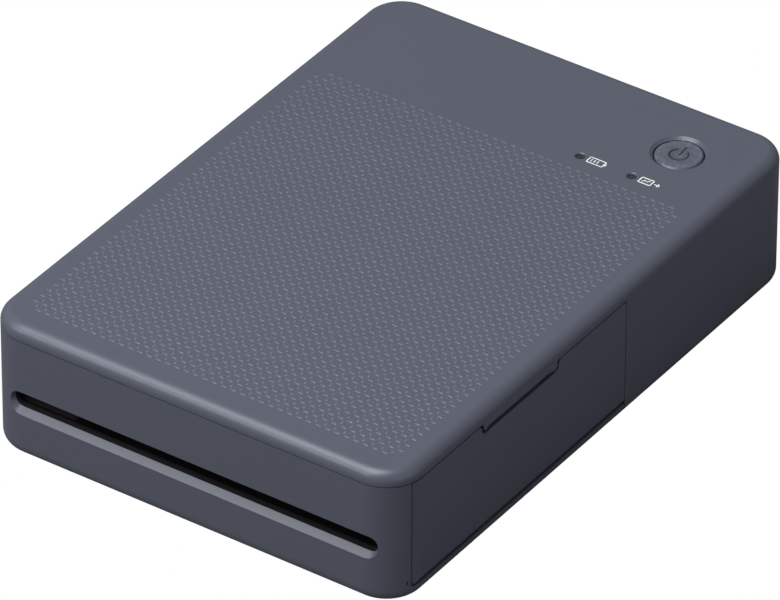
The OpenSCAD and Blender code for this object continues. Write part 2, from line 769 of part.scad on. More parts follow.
module beam_screws() {
    color("#8b8e92") for (x = beam_screw_x, y = beam_screw_y) difference() {
        union() {
            translate([x, y, beam_z - 1]) cylinder(r = 1.5, h = 1);
            translate([x, y, beam_z - 0.5]) cylinder(r = 0.6, h = 2.5);
        }
        translate([x, y, beam_z - 1.1]) rotate([0, 0, 30]) cylinder(r = 0.7, h = 0.7, $fn = 6);
    }
}

module heat_sink() {
    x0 = head_x[0];
    x1 = head_x[1];
    color("#a3a6aa") {
        difference() {
            box([x0, platen_y - 5, head_z], [x1, platen_y + 5, sink_top]);
            // long grooves between the fins
            for (y = [-3.6, -1, 1.4])
                box([x0 - 1, platen_y + y, head_z + 2.8], [x1 + 1, platen_y + y + 1.6, sink_top + 1]);
            for (x = pin_x) translate([x, platen_y, head_z + 1.8]) cylinder(r = 2.6, h = 9);
            box([sheet_x - 17.5, platen_y - 6, head_z + 3.8],
                [sheet_x + 17.5, platen_y - 3.8, sink_top + 1]);
        }
        for (x = pin_x) translate([x, platen_y, head_z + 1.8])
            cylinder(r = 2.6, h = sink_top - head_z - 1.8);
    }
}

module head_pins() {
    color(steel_c) for (x = pin_x) translate([x, platen_y, sink_top])
        cylinder(r = 1.5, h = beam_z + beam_t - sink_top);
}

module heater_bar() {
    z = film_z + 0.45;
    color("#d6d2c8") {
        box([head_x[0], platen_y - 4.4, z], [head_x[1], platen_y + 4.2, head_z]);
        rod(platen_y, z, 0.3, head_x[0] + 1.5, head_x[1] - 1.5);
    }
}

module head_springs() {
    z = head_z + 2.8;
    color("#c5c7c9") for (x = [-19.5, 0, 19.5]) translate([sheet_x + x, platen_y - 0.2, z])
        difference() {
            cylinder(r = 0.6, h = beam_z - z);
            translate([0, 0, 0.4]) cylinder(r = 0.25, h = 9);
        }
}

module head_cable() {
    a = platen_y + 5;
    b = idler_y + 1;
    z0 = sink_top - 2.4;
    z1 = roof_z - 0.6;
    end = board_top + 1.3;
    color("#b5763a") translate([-10, 0, 0]) rotate([90, 0, 90]) linear_extrude(20)
        polygon([[a, z0], [a, z0 + 0.2], [a + 1.3, z0 + 0.2], [a + 1.3, z1], [b - 0.2, z1],
                 [b, z1 - 0.2], [b, end], [b - 0.4, end], [b - 0.4, z1 - 0.2],
                 [a + 1.5, z1 - 0.2], [a + 1.5, z0]]);
}

/* Sheet cassette */

module sheet_tray() {
    x0 = tray_x0;
    x1 = tray_x1;
    y0 = tray_y0;
    y1 = tray_y1;
    color("#4b4d54") {
        difference() {
            box([x0, y0, tray_z], [x1, y1, tray_z + tray_h]);
            box([x0 + tray_wall, y0 + tray_wall, tray_z + 1],
                [x1 - tray_wall, y1 - tray_wall, tray_z + tray_h + 1]);
            // low rear wall where the sheet leaves
            box([x0 + 1.9, y1 - 2.2, tray_z + tray_h - 1.7], [x1 - 1.9, y1 + 1, tray_z + tray_h + 1]);
            // bearing holes of the lift plate
            rod(y0 + 5.4, plate_z + plate_t / 2, 0.8 + fit, x0 - 1, x1 + 1);
            // openings in the floor
            for (x = [-33.5, 2.5])
                box([sheet_x + x, y0 + 16.4, tray_z - 1], [sheet_x + x + 28, y1 - 22.2, tray_z + 1.1]);
        }
        // grip at the door end
        box([x1 - 1, notch_y - 10, tray_z], [x1 + 0.4, notch_y + 10, tray_z + 5]);
    }
}

module tray_lid() {
    z = tray_z + tray_h - lid_t;
    color("#4b4d54") difference() {
        box([tray_x0 + tray_wall, tray_y0 + tray_wall, z],
            [tray_x1 - tray_wall, tray_y1 - tray_wall, z + lid_t]);
        box([tray_x0 + 1.9, pick_y - 7.5, z - 1], [tray_x1 - 1.9, tray_y1, z + 2]);
        box([sheet_x - 31.5, tray_y0 + 12, z - 1], [sheet_x + 30.5, platen_y - 8, z + 2]);
    }
}

module lift_plate() {
    x0 = tray_x0 + 1.4;
    x1 = tray_x1 - 1.4;
    color(steel_c) {
        difference() {
            box([x0, tray_y0 + 4.4, plate_z], [x1, tray_y1 - 4.2, plate_z + plate_t]);
            for (x = [-25.5, 10.5])
                box([sheet_x + x, tray_y0 + 26, plate_z - 1], [sheet_x + x + 14, tray_y0 + 40, plate_z + 1]);
        }
        for (x = [x0 - 1.2, x1 - 0.4]) rod(tray_y0 + 5.4, plate_z + plate_t / 2, 0.8, x, x + 1.6);
    }
}

module sheet_stack() {
    z = plate_z + plate_t;
    color("#efefec") box([sheet_x - sheet_w / 2, tray_y1 - 1.4 - sheet_l, z],
                         [sheet_x + sheet_w / 2, tray_y1 - 1.4, z + stack_h]);
}

module plate_spring() {
    a = tray_y0 + 14.4;
    b = platen_y;
    z = tray_z + 1;
    color("#b8bbbe") for (x = [-11.5, 6.5]) translate([sheet_x + x, 0, 0]) rotate([90, 0, 90])
        linear_extrude(5) polygon([[a, z], [a, z + 0.25], [a + 2.2, z + 0.25], [b, z + 0.6],
                                   [b + 1, z + 0.6], [b + 1, z + 0.35], [a + 2.2, z]]);
}

/* Ribbon cassette */

module chamber(y, s) {
    x0 = cart_x[0];
    x1 = cart_x[1];
    difference() {
        rod(y, spool_z, spool_out_r, x0, x1);
        rod(y, spool_z, spool_in_r, x0 + 1.2, x1 - 1.2);
        rod(y, spool_z, 1.5 + fit, x0 - 1, x1 + 1);
        // mouth the ribbon leaves through
        box([x0 + 1.2, min(y - s * 3.2, y - s * 10), path_z - 1],
            [x1 - 1.2, max(y - s * 3.2, y - s * 10), spool_z - 1.2]);
    }
}

module ribbon_cassette() {
    x1 = cart_x[1];
    color("#43454c") {
        chamber(supply_y, 1);
        chamber(takeup_y, -1);
        // plate with the finger grip that joins the two halves
        translate([x1 - 1.2, 0, 0]) rotate([90, 0, 90]) linear_extrude(1.4) difference() {
            union() {
                for (y = [supply_y, takeup_y]) translate([y, spool_z]) circle(r = spool_out_r);
                translate([takeup_y, spool_z - 3]) square([supply_y - takeup_y, 6.4]);
            }
            for (y = [supply_y, takeup_y]) translate([y, spool_z]) circle(r = 1.5 + fit);
        }
        box([x1 + 0.1, takeup_y + 7.4, spool_z - 2.4], [x1 + 1.6, supply_y - 7.2, spool_z - 1.2]);
    }
}

module spool(y) {
    x0 = cart_x[0];
    x1 = cart_x[1];
    rim = spool_in_r - 0.7;
    difference() {
        union() {
            rod(y, spool_z, 1.5, x0 - 1.4, x1 + 0.1);
            rod(y, spool_z, 2.2, x0 + 1.4, x1 - 1.4);
            rod(y, spool_z, rim, x0 + 1.4, x0 + 2);
            rod(y, spool_z, rim, x1 - 2, x1 - 1.4);
        }
        // six-sided socket for the drive
        translate([x0 - 1.5, y, spool_z]) rotate([0, 90, 0]) cylinder(r = 0.9, h = 2.6, $fn = 6);
    }
}

module roll(y, r) {
    difference() {
        rod(y, spool_z, r, cart_x[0] + 2.4, cart_x[1] - 2.4);
        rod(y, spool_z, 2.2, cart_x[0], cart_x[1]);
    }
}

module supply_spool() {
    color(white_c) spool(supply_y);
}

module supply_roll() {
    color("#7a2c3c") roll(supply_y, full_r);
}

module takeup_spool() {
    color(white_c) spool(takeup_y);
}

module takeup_roll() {
    color("#35304a") roll(takeup_y, used_r);
}

module ribbon_film() {
    k = cos(45);
    color("#6b3048") {
        s0 = [supply_y - (full_r + 0.1) * k, spool_z - (full_r + 0.1) * k];
        t0 = [takeup_y + (used_r + 0.1) * k, spool_z - (used_r + 0.1) * k];
        translate([cart_x[0] + 2.6, 0, 0]) rotate([90, 0, 90])
            linear_extrude(cart_x[1] - cart_x[0] - 5.2)
            polygon([s0, [platen_y + 7.5, film_z + 0.1], [platen_y - 7.6, film_z + 0.1], t0,
                     [t0[0] - 0.05, t0[1] - 0.12], [platen_y - 7.7, film_z],
                     [platen_y + 7.6, film_z], [s0[0] + 0.05, s0[1] - 0.12]]);
    }
}

/* Electronics */

module battery_pack() {
    x0 = frame_x0 + 21.6;
    x1 = -frame_x0 - 5.6;
    y1 = in_y - 3.3;
    mid = (bay_y + y1) / 2;
    z = floor_z + 0.7;
    color("#3f5f86") {
        difference() {
            box([x0, bay_y, z], [x1, y1, z + 8]);
            // groove between the two cells
            box([x0 - 1, mid - 0.2, z + 7], [x1 + 1, mid + 0.2, z + 9]);
        }
        box([x0 - 2, bay_y + 6, z + 1.2], [x0 + 0.1, y1 - 6, z + 6.8]);
    }
}

module main_board() {
    color("#2f6b4a") difference() {
        box([-board_x, board_y[0], board_z], [board_x, board_y[1], board_top]);
        for (k = [0, 1]) translate([screws[k][0], screws[k][1], board_z - 1])
            cylinder(r = 1.2, h = 4);
        for (s = [-1, 1]) translate([s * (half_w - 2.7), half_d - 0.3, board_z - 1])
            cylinder(r = 7, h = 4);
    }
}

module board_chips() {
    color("#232427") translate([0, board_y[0], board_top]) {
        box([-14, 11.4, 0], [0, 25.4, 1.4]);
        box([6, 17.4, 0], [14, 27.4, 1]);
        box([-32, 15.4, 0], [-22, 21.4, 1.1]);
        // socket of the head's cable
        box([-11, 0.2, 0], [11, 3, 1.2]);
        for (x = [-38, -35, 18, 21]) box([x, 5.4, 0], [x + 1.8, 8.4, 0.9]);
    }
}

module board_coils() {
    color("#55565a") translate([0, board_y[0], board_top]) {
        box([-34, 25.4, 0], [-27, 32.4, 2.8]);
        for (x = [-20, -14]) translate([x, 31.4, 0]) cylinder(r = 2.4, h = 4.4);
        for (x = [16, 22]) translate([x, 34.4, 0]) cylinder(r = 2, h = 3.6);
    }
}

module usb_port() {
    color(steel_c) translate([0, in_y + 0.2, port_z]) rotate([90, 0, 0]) difference() {
        linear_extrude(7.6) {
            square([8.9 - 3.2, 3.2], center = true);
            for (s = [-1, 1]) translate([s * (8.9 - 3.2) / 2, 0]) circle(d = 3.2);
        }
        translate([0, 0, -1]) linear_extrude(7.2) {
            square([8.3 - 2.6, 2.6], center = true);
            for (s = [-1, 1]) translate([s * (8.3 - 2.6) / 2, 0]) circle(d = 2.6);
        }
        translate([-5, -1.9, 6.9]) cube([10, 0.35, 2]);
    }
    color(dark_c) box([-3.3, in_y - 7.2, port_z - 0.35], [3.3, in_y - 0.8, port_z + 0.35]);
}

/* Small parts of the case */

module exit_guide() {
    y0 = -in_y + 1.1;
    z0 = slot_z - slot_h / 2;
    z1 = slot_z + slot_h / 2;
    x0 = slot_x - slot_w / 2 - 0.7;
    x1 = slot_x + slot_w / 2 + 0.7;
    color("#2b272c") {
        // floor and roof of the outlet, open between them
        translate([x0, 0, 0]) rotate([90, 0, 90]) linear_extrude(x1 - x0) {
            polygon([[y0, z0 - 1], [y0, z0], [y0 + 10.2, z0 + 0.3], [y0 + 22.2, z0 + 0.3],
                     [y0 + 22.2, z0 - 0.5]]);
            polygon([[y0, z1 + 0.8], [y0, z1], [y0 + 12.2, z1 + 0.5], [y0 + 24.2, z1 + 0.9],
                     [y0 + 24.2, z1 + 1.5]]);
        }
        // side walls of the outlet
        for (x = [x0, x1 - 0.6]) box([x, y0, z0 - 0.9], [x + 0.6, y0 + 12.2, z1 + 0.7]);
        // finger of the guide seen inside the slot
        box([x0 + 0.5, y0 + 5.2, z0 - 0.2], [x0 + 14, y0 + 6.2, z0 + 1.6]);
    }
}

module rubber_feet() {
    color(rubber_c) for (p = feet_xy) translate([p[0], p[1], 0]) difference() {
        cylinder(r = 4, h = foot_h + 0.6);
        translate([0, 0, -1]) cylinder(r = 1.2, h = 1.2);
    }
}

module case_screws() {
    color("#8b8e92") for (p = screws) translate([p[0], p[1], foot_h + 0.5]) difference() {
        union() {
            cylinder(r = 1.6, h = 0.6);
            cylinder(r = 0.75, h = post_low(p) + 2.9 - foot_h);
        }
        translate([0, 0, -0.1]) cylinder(r = 0.8, h = 0.5, $fn = 6);
    }
}

lower_case();
top_cover();
side_door();
door_magnets();
door_keepers();
power_button();
power_switch();
light_guides();
status_lights();
exit_guide();
left_frame();
right_frame();
cross_bars();
turn_guide();
platen_shaft();
platen_rubber();
platen_gear();
pick_shaft();
pick_tyres();
pick_gear();
feed_roller();
feed_gear();
pinch_shaft();
pinch_rollers();
idler_stud();
idler_gear();
motor_pinion();
motor_shaft();
feed_motor();
head_beam();
beam_screws();
heat_sink();
head_pins();
heater_bar();
head_springs();
head_cable();
sheet_tray();
tray_lid();
lift_plate();
plate_spring();
sheet_stack();
ribbon_cassette();
supply_spool();
supply_roll();
takeup_spool();
takeup_roll();
ribbon_film();
battery_pack();
main_board();
board_chips();
board_coils();
usb_port();
rubber_feet();
case_screws();
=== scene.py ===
import json
import math

import bpy
from mathutils import Matrix, Vector


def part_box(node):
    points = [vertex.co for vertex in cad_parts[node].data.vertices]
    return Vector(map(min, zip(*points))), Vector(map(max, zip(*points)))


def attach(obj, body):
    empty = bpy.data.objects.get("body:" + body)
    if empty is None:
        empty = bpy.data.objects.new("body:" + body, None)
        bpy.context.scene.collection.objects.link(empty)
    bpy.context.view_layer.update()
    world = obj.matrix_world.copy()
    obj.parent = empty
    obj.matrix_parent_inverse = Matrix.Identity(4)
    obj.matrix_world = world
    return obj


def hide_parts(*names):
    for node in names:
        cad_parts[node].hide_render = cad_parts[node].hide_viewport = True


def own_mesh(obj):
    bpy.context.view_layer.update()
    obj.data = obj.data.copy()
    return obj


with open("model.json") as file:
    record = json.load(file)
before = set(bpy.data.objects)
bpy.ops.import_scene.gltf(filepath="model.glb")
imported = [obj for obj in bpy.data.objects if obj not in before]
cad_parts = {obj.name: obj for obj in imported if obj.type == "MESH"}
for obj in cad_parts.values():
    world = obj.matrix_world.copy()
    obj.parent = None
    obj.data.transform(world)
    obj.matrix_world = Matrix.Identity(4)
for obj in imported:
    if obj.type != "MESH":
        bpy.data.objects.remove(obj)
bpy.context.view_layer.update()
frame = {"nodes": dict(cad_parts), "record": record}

mm = 0.001

# fitted to the outline and the seams in the photograph: azimuth and elevation in degrees,
# roll in radians, lens and sensor in mm, distance, target and clip in metres
camera = {
    "azimuth": 34.49534,
    "elevation": 35.37862,
    "distance": 2.009406,
    "target": (0.00084785, -0.00279115, 0.0165),
    "lens": 450.085,
    "roll": -0.00319,
    "sensor": 36,
    "clip": (0.1, 20),
}


def makeCamera(c):
    az, el = math.radians(c["azimuth"]), math.radians(c["elevation"])
    back = Vector((math.sin(az) * math.cos(el), -math.cos(az) * math.cos(el), math.sin(el)))
    right = Vector((math.cos(az), math.sin(az), 0))
    up = back.cross(right)
    turn = Matrix((right, up, back)).transposed().to_4x4()
    turn = turn @ Matrix.Rotation(-c["roll"], 4, "Z")
    data = bpy.data.cameras.new("camera")
    data.lens = c["lens"]
    data.sensor_width = c["sensor"]
    data.clip_start, data.clip_end = c["clip"]
    cam = bpy.data.objects.new("camera", data)
    cam.matrix_world = Matrix.Translation(Vector(c["target"]) + back * c["distance"]) @ turn
    bpy.context.scene.collection.objects.link(cam)
    bpy.context.scene.camera = cam


makeCamera(camera)
bpy.context.scene.view_settings.view_transform = "Standard"


# sRGB hex to the linear colour that shader sockets take
def linear(hexColour):
    out = []
    for i in (1, 3, 5):
        v = int(hexColour[i:i + 2], 16) / 255
        out.append(v / 12.92 if v <= 0.04045 else ((v + 0.055) / 1.055) ** 2.4)
    return (out[0], out[1], out[2], 1)


# adds a node to a material or the world and gives back one of its outputs. Inputs go by name or
# in order: a socket is linked, and any other value is set
def addNode(owner, kind, inputs=(), out=0, **settings):
    node = owner.node_tree.nodes.new("ShaderNode" + kind)
    for key, value in settings.items():
        setattr(node, key, value)
    for key, value in inputs.items() if isinstance(inputs, dict) else enumerate(inputs):
        if isinstance(value, bpy.types.NodeSocket):
            owner.node_tree.links.new(value, node.inputs[key])
        else:
            node.inputs[key].default_value = value
    return node.outputs[out] if node.outputs else None


def newMaterial(name):
    mat = bpy.data.materials.new(name)
    mat.use_nodes = True
    mat.node_tree.nodes.clear()
    return mat


# what the plain surfaces share: wide clouds and fine specks of the darker colour, and edges
# rubbed in broken patches
surfaceLook = {
    "cloudPerMm": 0.035, "cloudDetail": 4, "cloudSpan": (0.3, 0.7),
    "roughSpan": (0.25, 0.75), "roughSwing": 0.02,
    "speckDetail": 2, "speckRough": 0.6, "speckSpan": (0.35, 0.75), "speckMost": 0.22,
    "edgeSpan": (0.515, 0.56), "rubPerMm": 0.9, "rubDetail": 3, "rubSpan": (0.4, 0.62),
    "rubLeast": 0.25, "coatRoughness": 0.15,
}


# grain in specks per mm, drawn out along an axis by a stretch under 1, bump in mm, and wear as
# the most of the worn colour on an edge. Real moulded and ground grain has 10 specks per mm and
# more, too fine to show, so all grain here is drawn as coarse as it needs to show. Sockets 6 and
# 7 of a Mix node are its two colours, and output 2 is the mixed one
def surface(name, colour, dark, worn, roughness, metallic=0.0, *, grain, bump,
            stretch=(1, 1, 1), wear=0.12, coat=0.0, extra=None):
    look = surfaceLook
    dark, swing = linear(dark), look["roughSwing"]
    mat = newMaterial(name)
    place = addNode(mat, "TexCoord", out="Object")
    cloud = addNode(mat, "TexNoise", {"Vector": place, "Scale": look["cloudPerMm"] / mm,
                                      "Detail": look["cloudDetail"]})
    stretched = addNode(mat, "Mapping", {"Vector": place, "Scale": stretch})
    fine = addNode(mat, "TexNoise", {"Vector": stretched, "Scale": grain / mm,
                                     "Detail": look["speckDetail"],
                                     "Roughness": look["speckRough"]})
    clouds = addNode(mat, "MapRange", (cloud, *look["cloudSpan"], 0, 1))
    base = addNode(mat, "Mix", {"Factor": clouds, 6: linear(colour), 7: dark}, 2,
                   data_type="RGBA")
    specks = addNode(mat, "MapRange", (fine, *look["speckSpan"], 0, look["speckMost"]))
    base = addNode(mat, "Mix", {"Factor": specks, 6: base, 7: dark}, 2, data_type="RGBA")
    edge = addNode(mat, "NewGeometry", out="Pointiness")
    edge = addNode(mat, "MapRange", (edge, *look["edgeSpan"], 0, wear))
    rub = addNode(mat, "TexNoise", {"Vector": place, "Scale": look["rubPerMm"] / mm,
                                    "Detail": look["rubDetail"]})
    rub = addNode(mat, "MapRange", (rub, *look["rubSpan"], look["rubLeast"], 1))
    rubbed = addNode(mat, "Math", (edge, rub), operation="MULTIPLY")
    base = addNode(mat, "Mix", {"Factor": rubbed, 6: base, 7: linear(worn)}, 2,
                   data_type="RGBA")
    rough = addNode(mat, "MapRange", (cloud, *look["roughSpan"], roughness - swing,
                                      roughness + swing))
    normal = addNode(mat, "Bump", {"Height": fine, "Distance": bump * mm})
    inputs = {"Base Color": base, "Roughness": rough, "Metallic": metallic, "Normal": normal}
    if coat:
        inputs["Coat Weight"] = coat
        inputs["Coat Roughness"] = look["coatRoughness"]
    inputs.update(extra or {})
    addNode(mat, "OutputMaterial", (addNode(mat, "BsdfPrincipled", inputs),))
    return mat


# fingerX is where the guide's finger ends and its plain wall starts, in mm
guideLook = {
    "fingerX": (-30.6, -30.2), "grain": 4, "detail": 2, "bump": 0.004,
    "speckSpan": (0.35, 0.7), "speckMost": 0.4,
    "roughSpan": (0.3, 0.7), "roughness": (0.55, 0.7), "specular": 0.3,
}


def guideSurface(name, colour, fingerColour):
    look = guideLook
    colour, fingerColour = linear(colour), linear(fingerColour)
    mat = newMaterial(name)
    place = addNode(mat, "TexCoord", out="Object")
    placeX = addNode(mat, "SeparateXYZ", (place,))
    endX, wallX = look["fingerX"]
    finger = addNode(mat, "MapRange", (placeX, endX * mm, wallX * mm, 1, 0))
    fine = addNode(mat, "TexNoise", {"Vector": place, "Scale": look["grain"] / mm,
                                     "Detail": look["detail"]})
    base = addNode(mat, "Mix", {"Factor": finger, 6: colour, 7: fingerColour}, 2,
                   data_type="RGBA")
    specks = addNode(mat, "MapRange", (fine, *look["speckSpan"], 0, look["speckMost"]))
    base = addNode(mat, "Mix", {"Factor": specks, 6: base, 7: colour}, 2, data_type="RGBA")
    rough = addNode(mat, "MapRange", (fine, *look["roughSpan"], *look["roughness"]))
    normal = addNode(mat, "Bump", {"Height": fine, "Distance": look["bump"] * mm})
    shader = addNode(mat, "BsdfPrincipled", {"Base Color": base, "Normal": normal,
                                             "Roughness": rough,
                                             "Specular IOR Level": look["specular"]})
    addNode(mat, "OutputMaterial", (shader,))
    return mat


# copper runs under the mask in staggered lengths: pitch, length, half width and relief in mm
boardLook = {
    "pitch": 1.3, "length": 9.0, "halfWidth": 0.125, "blur": 0.2, "stagger": 0.37,
    "relief": 0.03, "stainPerMm": 2, "stainDetail": 3, "stainSpan": (0.4, 0.7),
    "stainMost": 0.12, "roughSpan": (0.3, 0.7), "roughness": (0.25, 0.36),
    "coat": 0.5, "coatRoughness": 0.15,
}


def boardSurface(name, colour, traceColour):
    look = boardLook
    colour, traceColour = linear(colour), linear(traceColour)
    mat = newMaterial(name)
    place = addNode(mat, "TexCoord", out="Object")
    tracks = addNode(mat, "TexBrick",
                     {"Vector": place, "Color1": colour, "Color2": colour,
                      "Mortar": traceColour, "Scale": 1 / mm,
                      "Mortar Size": look["halfWidth"], "Mortar Smooth": look["blur"],
                      "Brick Width": look["length"], "Row Height": look["pitch"]},
                     offset=look["stagger"], offset_frequency=2)
    fine = addNode(mat, "TexNoise", {"Vector": place, "Scale": look["stainPerMm"] / mm,
                                     "Detail": look["stainDetail"]})
    stain = addNode(mat, "MapRange", (fine, *look["stainSpan"], 0, look["stainMost"]))
    base = addNode(mat, "Mix", {"Factor": stain, 6: tracks, 7: traceColour}, 2,
                   data_type="RGBA")
    rough = addNode(mat, "MapRange", (fine, *look["roughSpan"], *look["roughness"]))
    normal = addNode(mat, "Bump", {"Height": tracks.node.outputs[1],
                                   "Distance": look["relief"] * mm})
    shader = addNode(mat, "BsdfPrincipled", {"Base Color": base, "Normal": normal,
                                             "Roughness": rough,
                                             "Coat Weight": look["coat"],
                                             "Coat Roughness": look["coatRoughness"]})
    addNode(mat, "OutputMaterial", (shader,))
    return mat


# ABS moulded in a fine spark-eroded tool: even slate grey with a soft, wide highlight
shell = surface("moulded_abs_slate", "#515562", "#505461", "#7b8090", 0.34, grain=3.2,
                bump=0.0005, wear=0.0)
# the button's own ABS moulding: a touch darker, its rim rubbed lighter by the finger
buttonMat = surface("moulded_abs_button", "#4d525f", "#4b505d", "#858a97", 0.36, grain=4,
                    bump=0.0006, wear=0.3)
# the raised pattern of the shell's ABS: its smoother tops catch the light as small dashes, and
# its colour, lighter than the shell's, adds painted highlight to them
reliefPaintedHighlightMat = surface("moulded_abs_relief_painted_highlight", "#5d6270", "#595e6b", "#9da0ab", 0.33, grain=5,
                    bump=0.001, wear=0.0)
# painted shade: a near-black, very dull material for the strip laid over the shaded inner bevel
# of the outlet
paintedShadeMat = surface("painted_shade_black", "#19191c", "#121214", "#212124", 0.95, grain=7,
                bump=0.02, wear=0.0, extra={"Specular IOR Level": 0.15})
# black ABS of the exit guide, moulded matt: brownish where its finger stands in the slot
guidePlastic = guideSurface("moulded_abs_guide", "#080708", "#3a3235")
# black ABS moulded for the inside: dull, with faintly greyer edges
darkPlastic = surface("moulded_abs_black", "#2b2a2d", "#222124", "#55555a", 0.55, grain=4,
                      bump=0.01)
# polystyrene of the cassettes, moulded coarse: mid grey with no clear highlight
cassettePlastic = surface("moulded_polystyrene_grey", "#47494f", "#43454b", "#6a6c72", 0.5,
                          grain=3, bump=0.006, wear=0.1)
# acetal of the gears and spools, moulded uncoloured: milky, light goes a little way in
whitePlastic = surface("moulded_acetal_white", "#dcdad2", "#cfccc3", "#efede6", 0.38,
                       grain=3, bump=0.004, extra={"Subsurface Weight": 0.08,
                                                   "Subsurface Scale": 0.0006})
# zinc plated sheet steel: grey metal with faint lines along X from rolling
steel = surface("rolled_zinc_steel", "#a9acaf", "#95989c", "#c9cbce", 0.32, 1.0, grain=6,
                bump=0.004, stretch=(0.08, 1, 1))
# plated steel screws: darker metal with brighter rubbed edges
screwSteel = surface("plated_screw_steel", "#7e8185", "#63666a", "#b4b6b9", 0.34, 1.0,
                     grain=5, bump=0.004)
# extruded aluminium: pale metal with lines along the extrusion
aluminium = surface("extruded_aluminium", "#b9bcc0", "#a6a9ae", "#d6d8da", 0.36, 1.0,
                    grain=5, bump=0.005, stretch=(0.05, 1, 1))
# rubber ground to size: dark grey and dull
rubber = surface("ground_rubber", "#37383a", "#2c2d2f", "#4c4d50", 0.78, grain=4, bump=0.02)
# alumina of the heater with a fired glaze: ivory with a clear gloss
ceramic = surface("glazed_alumina", "#d9d4c8", "#cbc5b8", "#ebe7dd", 0.2, grain=4,
                  bump=0.002, coat=0.6)
# machined brass pinion: warm yellow metal
brass = surface("machined_brass", "#c0a262", "#a68a4e", "#dcc48a", 0.3, 1.0, grain=6,
                bump=0.004)
# coated photo paper: bright white, and the edges of the sheets show as fine lines
paper = surface("coated_photo_paper", "#f1f1ee", "#e6e6e2", "#ffffff", 0.35, grain=10,
                bump=0.01, stretch=(0.1, 0.1, 1.2), coat=0.2)
# dye film wound tight: glossy, plum where it is fresh and bluish where it is used
filmPlum = surface("wound_film_plum", "#6d2a40", "#57203a", "#8d4a60", 0.22, grain=6,
                   bump=0.004, stretch=(0.05, 1, 1), coat=0.5)
filmBlue = surface("wound_film_used", "#383350", "#2b2740", "#5a5575", 0.22, grain=6,
                   bump=0.004, stretch=(0.05, 1, 1), coat=0.5)
# clear acrylic light guides, moulded smooth: dark while their lamps are off
clear = surface("moulded_clear_acrylic", "#3b3e46", "#2c2f36", "#6a6d75", 0.12, grain=5,
                bump=0.002, extra={"Transmission Weight": 0.35, "IOR": 1.49})
# solder mask printed over copper on glass fibre: glossy green with paler tracks
board = boardSurface("printed_solder_mask", "#1d5c3c", "#2f7a52")
# epoxy chip bodies, moulded: dull black
chip = surface("moulded_epoxy", "#26262a", "#1d1d20", "#4a4a4e", 0.6, grain=5, bump=0.008)
# vinyl sleeve shrunk round the cells: blue with a soft gloss
wrap = surface("shrunk_vinyl_blue", "#3b5f8c", "#32527c", "#6f8db2", 0.28, grain=1.5,
               bump=0.02, coat=0.3)
# nickel plated magnets: bright metal, a little warm
magnet = surface("plated_nickel", "#b5b3ad", "#a3a19b", "#d5d3cd", 0.2, 1.0, grain=5,
                 bump=0.003)
# polyimide film of the flat cable, laminated: amber with a gloss
cable = surface("laminated_polyimide", "#b06a26", "#97591e", "#cf9350", 0.3, grain=2,
                bump=0.006, stretch=(1, 0.05, 1), coat=0.4)
# printed ink of the two signs: matt white
ink = surface("printed_white_ink", "#f2f2f0", "#e2e2e0", "#ffffff", 0.5, grain=8, bump=0.002)
# paint filled into the line of the button's symbol: matt and nearly black
inkDark = surface("filled_dark_paint", "#16171c", "#101115", "#24252b", 0.6, grain=6,
                  bump=0.002)

slotMaterials = {
    "shell": shell, "button": buttonMat, "dark_plastic": darkPlastic,
    "cassette_plastic": cassettePlastic, "white_plastic": whitePlastic, "steel": steel,
    "screw_steel": screwSteel, "aluminium": aluminium, "rubber": rubber, "ceramic": ceramic,
    "brass": brass, "paper": paper, "film_plum": filmPlum, "film_blue": filmBlue,
    "clear": clear, "board": board, "chip": chip, "wrap": wrap, "magnet": magnet,
    "cable": cable,
}

slotOf = {s["node"]: s["material_slot"] for s in frame["record"]["subparts"]}
for nodeName, cadObject in frame["nodes"].items():
    cadObject.data.materials.clear()
    cadObject.data.materials.append(slotMaterials[slotOf[nodeName]])
frame["nodes"]["exit_guide"].data.materials[0] = guidePlastic
print("materials set on", len(frame["nodes"]), "nodes")

# width in mm of the rounding on edges that are sharp in the source
softEdges = {
    "top_cover": 0.12, "lower_case": 0.12, "side_door": 0.12, "power_button": 0.15,
    "rubber_feet": 0.15, "sheet_tray": 0.2, "ribbon_cassette": 0.2, "heat_sink": 0.1,
}
sharpFrom = 40  # degrees between two faces


def soften(name, width):
    bevel = frame["nodes"][name].modifiers.new("edges", "BEVEL")
    bevel.width = width * mm
    bevel.segments = 2
    bevel.limit_method = "ANGLE"
    bevel.angle_limit = math.radians(sharpFrom)
    bevel.harden_normals = True
    bevel.use_clamp_overlap = True


for nodeName, edgeWidth in softEdges.items():
    soften(nodeName, edgeWidth)
print("edges softened on", len(softEdges), "nodes")


# all pieces below are built in mm
def makePiece(name, verts, faces, material, body, slotName, smooth=True):
    mesh = bpy.data.meshes.new(name)
    mesh.from_pydata([(x * mm, y * mm, z * mm) for x, y, z in verts], [], faces)
    mesh.validate()
    for poly in mesh.polygons:
        poly.use_smooth = smooth
    mesh.materials.append(material)
    obj = bpy.data.objects.new(name, mesh)
    bpy.context.scene.collection.objects.link(obj)
    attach(obj, body)
    return obj


def join(store, piece):
    start = len(store[0])
    store[0].extend(piece[0])
    store[1].extend(tuple(i + start for i in face) for face in piece[1])


# the pattern and the signs lie in a sunk field of the top
fieldDepth = 0.12
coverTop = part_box("top_cover")[1][2] / mm
fieldZ = coverTop - fieldDepth

# raised dashes: one along X at each crossing of the columns and rows, and a shorter one along
# Y between every four; shoulder, endInset and endFlat are shares
relief = {
    "columns": 40, "rows": 46, "pitch": 2.308, "rearY": 38.55,
    "length": 1.4, "crossLength": 1.0, "width": 0.62, "height": 0.09, "shoulder": 0.6,
    "sunk": 0.02, "insets": (0.0, 0.11, 0.24), "endInset": 0.7, "corner": 0.14,
    "endFlat": 0.5,
}


